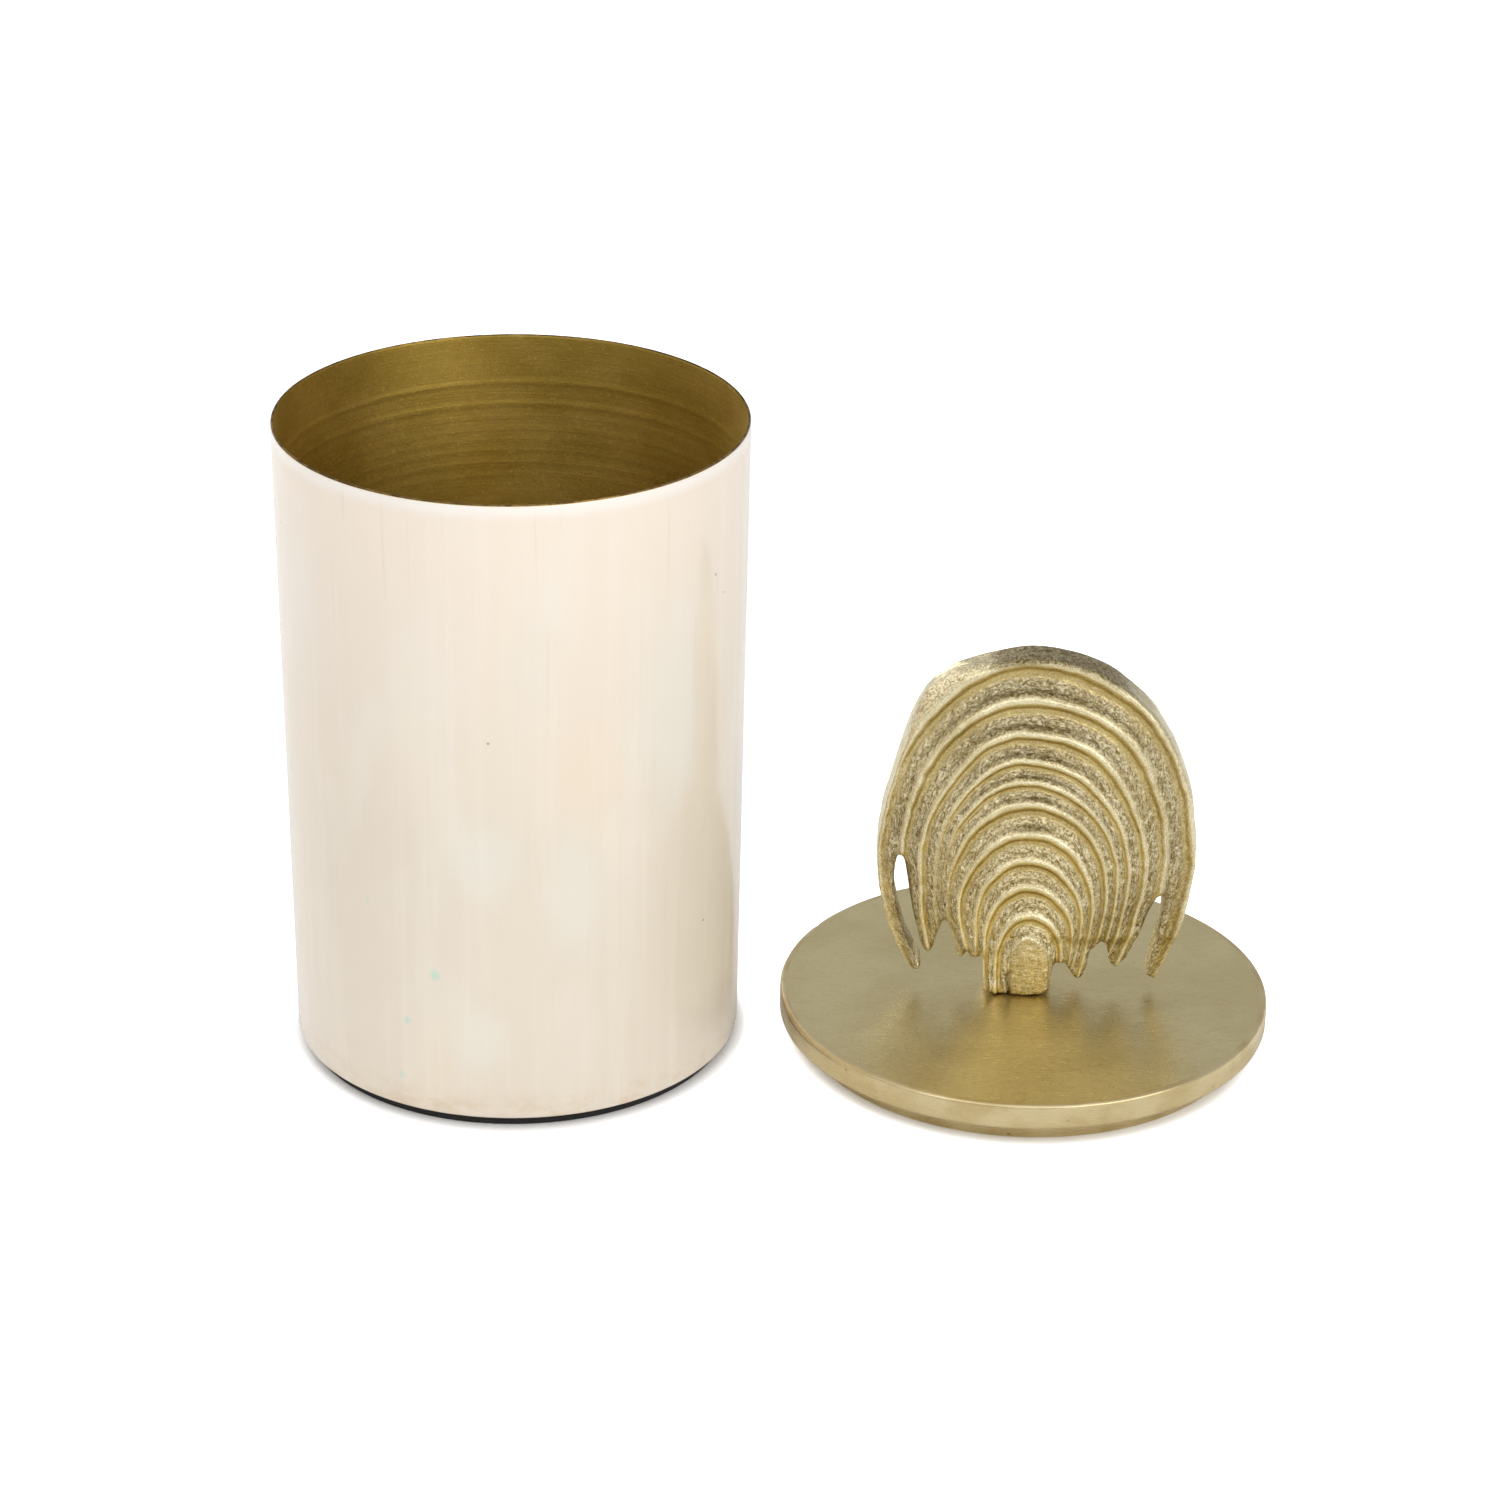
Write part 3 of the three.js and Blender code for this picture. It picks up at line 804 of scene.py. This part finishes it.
def arch_angle(x, z):
    """Degrees from the crown around the outer arch, and how far outside it a point lies in mm."""
    crown, left, right, shoulder = ARCHES[0][:4]
    across = x / np.where(x < 0, left, right)
    up = np.clip(z - shoulder, 0, None) / (crown - shoulder)
    beyond = (np.hypot(across, up) - 1) * np.hypot(x, z - shoulder)
    return np.degrees(np.arctan2(across, up)), np.clip(beyond, 0, None)


def swelling(angle):
    """How far the outer arch is pushed out at an angle from its crown, in mm."""
    return sum(
        height * math.exp(-(((angle - middle) / spread) ** 2))
        for middle, spread, height in SWELLINGS
    )


def half_outer_arch(left, steps=20, leg_steps=8):
    """One half of the outer arch as [x, height] points, from its crown to its foot."""
    row = ARCHES[0]
    crown, shoulder = row[CROWN], row[SHOULDER]
    half, foot_x, foot_z = (float(value) for value in arch_side(row, left))
    sign = -1 if left else 1
    points = []
    for turn in np.linspace(0, math.pi / 2, steps + 1):
        out = swelling(sign * math.degrees(turn))
        normal = np.array((math.sin(turn) / half, math.cos(turn) / (crown - shoulder)))
        normal = normal / np.linalg.norm(normal)
        across = half * math.sin(turn) + out * normal[0]
        points.append((sign * across, shoulder + (crown - shoulder) * math.cos(turn) + out * normal[1]))
    for share in np.linspace(0, 1, leg_steps + 1)[1:]:
        points.append(
            (sign * (half + (foot_x - half) * share**2), shoulder + (foot_z - shoulder) * share)
        )
    return points


def soften(points, rounds=2, share=0.2):
    """Cuts the corners of a closed outline, so that cast edges are never crisp."""
    points = np.array(points)
    for _ in range(rounds):
        following = np.roll(points, -1, axis=0)
        near = points * (1 - share) + following * share
        far = points * share + following * (1 - share)
        points = np.stack([near, far], 1).reshape(-1, 2)
    return points


def finial_outline():
    outer = half_outer_arch(left=True)[::-1] + half_outer_arch(left=False)[1:]
    outline = soften(outer + list(RIGHT_FEET) + list(LEFT_FEET))
    outline[:, 1] = np.clip(outline[:, 1], 0, None)
    return outline


def distance_to_outline(x, z, outline):
    """The shortest distance from each point to the closed outline."""
    nearest = np.full(len(x), 1e9)
    for start, end in zip(outline, np.roll(outline, -1, axis=0)):
        edge = end - start
        length = max(float(edge @ edge), 1e-9)
        share = np.clip(((x - start[0]) * edge[0] + (z - start[1]) * edge[1]) / length, 0, 1)
        gap = np.hypot(x - start[0] - share * edge[0], z - start[1] - share * edge[1])
        nearest = np.minimum(nearest, gap)
    return nearest


def prism(name, outline, half_depth):
    """The outline as an upright slab, half in front of the XZ plane and half behind it."""
    count = len(outline)
    front = [(x, -half_depth, z) for x, z in outline]
    back = [(x, half_depth, z) for x, z in outline]
    sides = [[i, (i + 1) % count, count + (i + 1) % count, count + i] for i in range(count)]
    faces = [list(range(count))[::-1], list(range(count, 2 * count))] + sides
    made = add_object(name, np.array(front + back), faces, [])
    mesh = bmesh.new()
    mesh.from_mesh(made.data)
    bmesh.ops.recalc_face_normals(mesh, faces=mesh.faces)
    mesh.to_mesh(made.data)
    mesh.free()
    return made


def peg(name, radius, start, end, steps=40):
    """A round cutter from start to end."""
    start, end = Vector(start) * MM, Vector(end) * MM
    axis = end - start
    mesh = bmesh.new()
    bmesh.ops.create_cone(
        mesh,
        cap_ends=True,
        segments=steps,
        radius1=radius * MM,
        radius2=radius * MM,
        depth=axis.length,
    )
    mesh.transform(Vector((0, 0, 1)).rotation_difference(axis).to_matrix().to_4x4())
    bmesh.ops.translate(mesh, verts=mesh.verts, vec=(start + end) / 2)
    data = bpy.data.meshes.new(name)
    mesh.to_mesh(data)
    mesh.free()
    made = bpy.data.objects.new(name, data)
    bpy.context.scene.collection.objects.link(made)
    return made


def apply_modifiers(piece):
    """Turns what the modifiers make of the piece into its own mesh."""
    bpy.context.view_layer.update()
    graph = bpy.context.evaluated_depsgraph_get()
    finished = bpy.data.meshes.new_from_object(piece.evaluated_get(graph))
    piece.modifiers.clear()
    piece.data = finished


def cut(piece, cutter):
    """Cuts a piece and throws the cutter away."""
    modifier = piece.modifiers.new("cut", "BOOLEAN")
    modifier.operation = "DIFFERENCE"
    modifier.solver = "EXACT"
    modifier.object = cutter
    apply_modifiers(piece)
    bpy.data.objects.remove(cutter)


def crinkle(x, y, z, size, seed):
    """Smooth noise from -1 to 1; size is the length of its bumps in mm, or three lengths."""
    lengths = (size, size, size) if isinstance(size, (int, float)) else size
    return np.array(
        [
            noise.noise(Vector((a / lengths[0], b / lengths[1] + seed, c / lengths[2])))
            for a, b, c in zip(x, y, z)
        ]
    )


def along_arch(x, z, family):
    """How far along its own arch a point lies from the crown, in mm, positive to the right."""
    index = np.arange(len(ARCHES))
    crown, left, right, shoulder = (np.interp(family, index, column) for column in ARCHES.T[:4])
    half = np.where(x < 0, left, right)
    turn = np.arctan2(x / half, np.clip(z - shoulder, 0, None) / (crown - shoulder))
    return turn * (half + crown - shoulder) / 2 + np.sign(x) * np.clip(shoulder - z, 0, None)


def relief(x, z):
    """The nested ridges at each point: a dict of arrays.

    Each ridge is a rounded lip. Inside it the surface falls into a smooth hollow, rises again through
    a rough cast band, levels off and dips to a thin crease, and then rises to the next ridge. The
    ridges wander a little off their arches, and those around FADING_RIDGE fade on the left.
    depth: how deep below the crests, 0 to 1; size: that depth's full size in mm; rough: the rough
    bands; shade: their strip below the next ridge, which takes painted shade; outer: the legs' part
    of the outer two bands; along and across: mm along the arches and across them; tongue: true on the
    tongue."""
    flat = np.zeros(len(x))
    x = x + WANDER * crinkle(x, flat, z, WANDER_LENGTH, seed=21.0)
    z = z + WANDER * crinkle(x, flat, z, WANDER_LENGTH, seed=33.0)
    family = arch_place(x, z)
    step = 0.25
    slope = np.hypot(
        arch_place(x + step, z) - arch_place(x - step, z),
        arch_place(x, z + step) - arch_place(x, z - step),
    ) / (2 * step)
    spacing = 1 / np.clip(slope, 0.05, 1)
    ridge = np.floor(np.clip(family, 0, len(ARCHES) - 1.001))
    share = family - ridge
    fall = smoothstep(share, 0.05, 0.32)
    rise = 0.5 * smoothstep(share, 0.34, 0.66)
    crease = 0.22 * smoothstep(share, 0.72, 0.84)
    next_lip = 0.72 * smoothstep(share, 0.84, 0.99)
    depth = fall - rise + crease - next_lip
    along = along_arch(x, z, family)
    fading = 0.6 * np.exp(-(((family - FADING_RIDGE) / FADING_SPREAD) ** 2))
    fading = fading * smoothstep(-along, 24, 40)
    depth = depth + fading * (0.6 - depth)
    rough = smoothstep(share, 0.4, 0.54) * smoothstep(share, 0.95, 0.86)
    shade = smoothstep(share, 0.62, 0.76) * smoothstep(share, 0.96, 0.88)
    tongue = family > len(ARCHES) - 1.02
    return {
        "depth": np.where(tongue, 0, depth),
        "size": np.clip(0.21 * spacing, 0.7, DEEPEST_GROOVE),
        "rough": np.where(tongue, 0.35, np.maximum(rough, fading)),
        "shade": np.where(tongue, 0, shade),
        "outer": smoothstep(family, 2.6, 1.2) * smoothstep(np.abs(along), 25, 60),
        "along": np.where(tongue, x, along),
        "across": np.where(tongue, z + TONGUE_OFFSET, share * spacing + RIDGE_OFFSET * ridge),
        "tongue": tongue,
    }


def cast_skin(x, y, z, along, across):
    """The crinkled skin of the rough bands, from 0 in its creases to 1, longest along the arches."""
    long_folds = np.abs(crinkle(along, y, across, (3.6, 3.0, 1.5), seed=3.0))
    short_folds = np.abs(crinkle(x, y, z, 2.0, seed=11.0))
    grains = 0.5 + 0.5 * crinkle(x, y, z, 1.0, seed=8.0)
    return np.clip(1.9 * long_folds + 0.8 * short_folds + 0.25 * grains, 0, 1)


def finial_blank(outline):
    """The slab with its two screw holes, cut up into small even faces."""
    piece = prism("finial_casting", outline, SLAB_HALF_DEPTH)
    set_height = SET_SCREW_HEIGHT - PLATE_TOP
    screw_top = SCREW_TOP - PLATE_TOP + 1
    cut(piece, peg("cut_screw", SCREW_HOLE, (0, 0, -5), (0, 0, screw_top)))
    cut(piece, peg("cut_set", SET_HOLE, (0, 0, set_height), (0, 12, set_height)))
    remesh = piece.modifiers.new("remesh", "REMESH")
    remesh.mode = "VOXEL"
    remesh.voxel_size = VOXEL * MM
    apply_modifiers(piece)
    return piece


def foot_cuts(x, z):
    """What the front of the foot lacks, in mm: a cold-shut crack left of the tongue, and the ledge
    left of the crack together with the rounding of the tongue's sides."""
    crack_x = CRACK_X + 0.4 * np.sin(z * 0.9)
    crack = 1.1 * np.exp(-(((x - crack_x) / 0.45) ** 2)) * smoothstep(z, 10, 7)
    ledge = 0.6 * smoothstep(z, 3.0, 6.0) * smoothstep(x, -4.6, -5.8) * smoothstep(z, 17, 13)
    tongue_side = np.clip(np.abs(x - TONGUE_MIDDLE) / TONGUE_HALF_WIDTH, 0, 1)
    tongue_fall = 1.3 * tongue_side**3 * smoothstep(z, 21, 17) * (x > CRACK_X - 0.2)
    return crack, ledge + tongue_fall


def painted_shade_amount(x, z, ridges, angle, edge):
    """How much painted shade darkens the brass at each point, from 0 to 1: on upward-facing flanks and
    tops, between the legs, on the left side and on the outer bands.
    """
    depth, rough = ridges["depth"], ridges["rough"]
    high_middle = np.exp(-(((x - 1) / 24) ** 2)) * smoothstep(z, 56, 84)
    between_legs = smoothstep(np.abs(x), 14, 24) * smoothstep(z, 46, 26)
    left_side = smoothstep(-x, 18, 38) * smoothstep(z, 78, 52)
    facing_up = np.exp(-((angle / 42) ** 2))
    # painted shade along the outer band's upward-facing top, right of the bright left shoulder
    painted_shade = smoothstep(angle, -22, -12) * smoothstep(angle, 42, 25) * smoothstep(edge, 1.8, 0.2)
    for share in (
        0.45 * rough * high_middle,
        0.9 * ridges["shade"] * facing_up,
        0.65 * depth * between_legs,
        0.4 * np.maximum(rough, depth) * left_side,
        0.15 * np.maximum(rough, depth) * ridges["outer"],
    ):
        painted_shade = np.maximum(painted_shade, share)
    return painted_shade


def cast_surface(x, y, z, outline):
    """Moves the blank's points onto the surface of the casting and out to its place on the lid.

    Returns the points, and what the brass material asks about each of them, by name."""
    front = y < 0
    ridges = relief(x, z)
    depth, rough = ridges["depth"], ridges["rough"]
    angle, beyond = arch_angle(x, z)
    across = ridges["across"] - beyond
    skin = cast_skin(x, y, z, ridges["along"], across)
    edge = distance_to_outline(x, z, outline)
    lack = np.clip(1 - edge / EDGE_ROUNDING, 0, 1)
    rounding = EDGE_ROUNDING * (1 - np.sqrt(1 - lack**2)) * 0.85
    falling = np.where(front, FRONT_FALL, BACK_FALL) * smoothstep(beyond, 0, 5.0)
    falling = falling * (z > ARCHES[0][SHOULDER])
    foot_share = np.clip((FOOT_HALF_WIDTH - np.abs(x - FOOT_MIDDLE)) / 2, 0, 1)
    foot_share = foot_share * np.clip((FOOT_TOP - z) / 6, 0, 1)
    full = SLAB_HALF_DEPTH + (FOOT_HALF_DEPTH - SLAB_HALF_DEPTH) * foot_share
    crack, other_cuts = (amount * front for amount in foot_cuts(x, z))
    slow = crinkle(x, y, z, 9.0, seed=1.0)
    lumps = crinkle(x, y, z, 3.6, seed=6.0)
    limit = full - depth * ridges["size"] - rounding - falling - crack - other_cuts
    shoulder = smoothstep(beyond, 0.3, 1.5) * front
    uneven = np.clip(rough + 0.5 * shoulder, 0, 1)
    creases = uneven * (1 - skin)
    limit -= FOLD_DEPTH * creases + WAVE_DEPTH * (0.5 + slow) + LUMP_DEPTH * (0.5 + lumps)
    y = y * np.clip(limit, 0.5, None) / SLAB_HALF_DEPTH

    # the side walls wander a little, as poured metal does
    wander = (0.45 * crinkle(x, y, z, 8.0, seed=5.0) + 0.2 * lumps) * np.clip((z - 4) / 6, 0, 1)
    x = np.clip(x * (1 + wander / 60) + LID_X, FINIAL_LOW.x, FINIAL_HIGH.x)
    y = np.clip(y, FINIAL_LOW.y, FINIAL_HIGH.y)
    z = np.clip(z + wander * 0.6 + PLATE_TOP, FINIAL_LOW.z, FINIAL_HIGH.z)

    painted_shade = painted_shade_amount(x - LID_X, z - PLATE_TOP, ridges, angle, edge)
    # the left shoulder and the edge of the outer band take the rough bands' skin: its bumps, and its
    # painted glints and shade
    left_shoulder = shoulder * smoothstep(angle, -8, -20)
    outer_skin = 0.8 * np.maximum(left_shoulder, painted_shade * (edge < 1.8))
    outer_skin = np.maximum(outer_skin, 0.22 * ridges["outer"])
    looks = {
        # depth also paints the hollows' shade; the tongue is given 0.8 so that it takes their darker
        # colour
        "depth": np.where(ridges["tongue"], 0.8, depth),
        "rough_band": np.maximum(rough, outer_skin),
        "creases": np.maximum(creases, crack),
        "painted_shade": painted_shade,
        "along": ridges["along"],
        "across": across,
    }
    return np.stack([x, y, z], 1), looks


def build_finial():
    outline = finial_outline()
    piece = finial_blank(outline)
    mesh = piece.data
    points = np.zeros(len(mesh.vertices) * 3)
    mesh.vertices.foreach_get("co", points)
    x, y, z = points.reshape(-1, 3).T / MM
    points, looks = cast_surface(x, y, z, outline)
    mesh.vertices.foreach_set("co", (points * MM).ravel())
    for name, values in looks.items():
        layer = mesh.attributes.new(name, "FLOAT", "POINT")
        layer.data.foreach_set("value", values.astype(np.float32))
    mesh.materials.clear()
    mesh.materials.append(CAST_BRASS)
    mesh.update()
    mesh.shade_smooth()
    return place(piece, "lid", "finial")


# ---- fixings -------------------------------------------------------------------------------------


def dress_fixings():
    """The screws and the washer show their CAD shapes."""
    for node in ("finial_screw", "screw_washer", "finial_set_screw"):
        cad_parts[node].data.materials.clear()
        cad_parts[node].data.materials.append(PLAIN_STEEL)


# ---- stage ---------------------------------------------------------------------------------------


def build_stage():
    """A plain white floor."""
    mesh = bmesh.new()
    bmesh.ops.create_grid(mesh, x_segments=8, y_segments=8, size=4)
    data = bpy.data.meshes.new("floor")
    mesh.to_mesh(data)
    mesh.free()
    data.materials.append(floor_white())
    floor = bpy.data.objects.new("floor", data)
    bpy.context.scene.collection.objects.link(floor)


def softbox(name, where, aim, width, height, power):
    light = bpy.data.lights.new(name, "AREA")
    light.shape = "RECTANGLE"
    light.size = width
    light.size_y = height
    light.energy = power
    lamp = bpy.data.objects.new(name, light)
    lamp.location = where
    lamp.rotation_euler = (Vector(aim) - Vector(where)).to_track_quat("-Z", "Y").to_euler()
    bpy.context.scene.collection.objects.link(lamp)


# Each lamp: position in metres, width, height, and power in watts.
LAMPS = {
    "key": ((-0.75, -1.0, 1.15), 0.9, 0.9, 3.0),
    "fill": ((1.05, -1.0, 0.75), 1.3, 0.9, 6.8),
    "front": ((0.0, -1.6, 0.95), 0.5, 0.4, 1.8),
    "rim": ((-0.85, 1.0, 0.98), 1.0, 0.6, 8),
    "top": ((0.1, -0.35, 1.55), 1.3, 1.3, 3.0),
}
LAMP_AIM = (0.08, 0, 0.08)
# The room's brightness in front of and behind the object.
ROOM_FRONT = 0.61
ROOM_BACK = 0.53


def build_light():
    """Soft lamps in a pale room."""
    for name, (where, width, height, power) in LAMPS.items():
        softbox(name, where, LAMP_AIM, width, height, power)
    world = bpy.data.worlds.new("studio")
    world.use_nodes = True
    tree = world.node_tree
    tree.nodes.clear()
    coords = tree.nodes.new("ShaderNodeTexCoord")
    parts = tree.nodes.new("ShaderNodeSeparateXYZ")
    tree.links.new(coords.outputs["Generated"], parts.inputs["Vector"])
    room = tree.nodes.new("ShaderNodeMapRange")
    for key, value in (
        ("From Min", -0.6),
        ("From Max", 0.8),
        ("To Min", ROOM_FRONT),
        ("To Max", ROOM_BACK),
    ):
        room.inputs[key].default_value = value
    tree.links.new(parts.outputs["Y"], room.inputs["Value"])
    # a camera that looks past the floor sees plain white
    seen = tree.nodes.new("ShaderNodeLightPath")
    strength = tree.nodes.new("ShaderNodeMath")
    strength.operation = "MAXIMUM"
    tree.links.new(room.outputs["Result"], strength.inputs[0])
    tree.links.new(seen.outputs["Is Camera Ray"], strength.inputs[1])
    back = tree.nodes.new("ShaderNodeBackground")
    back.inputs["Color"].default_value = (1, 1, 1, 1)
    tree.links.new(strength.outputs["Value"], back.inputs["Strength"])
    out = tree.nodes.new("ShaderNodeOutputWorld")
    tree.links.new(back.outputs["Background"], out.inputs["Surface"])
    bpy.context.scene.world = world


CAMERA_AT = (0.08167, -1.22289, 0.66721)
CAMERA_LENS = 107.865
CAMERA_PITCH = math.radians(25.129)
CAMERA_HEADING = math.radians(0.518)
CAMERA_ROLL = math.radians(0.716)


def build_camera():
    """A long lens from a little above the object, almost straight on."""
    data = bpy.data.cameras.new("camera")
    data.lens = CAMERA_LENS
    data.sensor_width = 36
    data.clip_end = 20
    camera = bpy.data.objects.new("camera", data)
    camera.location = CAMERA_AT
    look = Euler((math.pi / 2 - CAMERA_PITCH, 0, CAMERA_HEADING), "XYZ").to_quaternion()
    camera.rotation_mode = "QUATERNION"
    camera.rotation_quaternion = look @ Euler((0, 0, CAMERA_ROLL)).to_quaternion()
    bpy.context.scene.collection.objects.link(camera)
    bpy.context.scene.camera = camera


# ---- build ---------------------------------------------------------------------------------------

CREAM_ENAMEL = cream_enamel()
GOLD_LACQUER = gold_lacquer()
BARE_RIM = bare_rim()
SATIN_BRASS = satin_brass()
TURNED_BRASS = turned_brass()
CAST_BRASS = cast_brass()
PLAIN_STEEL = plain_steel()
BLACK_RUBBER = black_rubber()

build_wall()
build_enamel()
build_floor()
build_pad()
build_plate()
build_collar()
build_finial()
dress_fixings()
build_stage()
build_light()
build_camera()
bpy.context.scene.view_settings.view_transform = "Standard"

bpy.context.view_layer.update()
